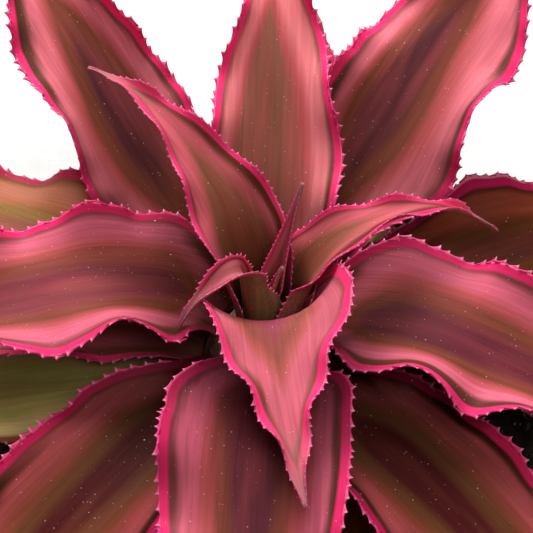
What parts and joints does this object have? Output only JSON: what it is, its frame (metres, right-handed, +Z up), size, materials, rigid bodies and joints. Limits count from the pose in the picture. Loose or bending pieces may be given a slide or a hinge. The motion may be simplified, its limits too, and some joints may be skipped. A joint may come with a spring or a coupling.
{
  "type": "earth star plant",
  "caption": "Flat rosette of wavy, saw-edged, rose and olive striped leaves on a short upright stem, lifted from its pot with a drum-shaped root ball.",
  "frame": {"origin": "centre of the root ball's flat underside, where it rests", "axes": "+Z up along the stem, -Y towards the front, where the broad middle leaf and the small channelled leaf over it point, +X to the right seen from the front"},
  "size_m": [0.2792, 0.2546, 0.1304],
  "materials": {
    "potting_mix": "matte",
    "stem_bark": "matte",
    "leaf_rose": "satin",
    "leaf_olive": "satin"
  },
  "bodies": {
    "root": {"root_ball": "potting_mix", "stem": "stem_bark", "heart_bud": "leaf_rose", "heart_spike": "leaf_rose", "heart_blade": "leaf_rose", "heart_curl": "leaf_rose", "inner_left_horn": "leaf_rose", "inner_right_horn": "leaf_rose", "inner_front": "leaf_rose", "middle_back": "leaf_rose", "middle_left": "leaf_rose", "middle_right": "leaf_rose", "middle_front": "leaf_rose", "outer_back_left": "leaf_rose", "outer_back_right": "leaf_rose", "outer_front_left": "leaf_rose", "outer_front_right": "leaf_rose", "outer_right": "leaf_rose", "outer_left": "leaf_rose", "lower_left": "leaf_rose", "lower_right": "leaf_olive", "lower_back": "leaf_rose", "lower_left_green": "leaf_olive", "lower_front": "leaf_rose", "lower_back_left": "leaf_olive", "lower_back_right": "leaf_olive"}
  },
  "joints": []
}
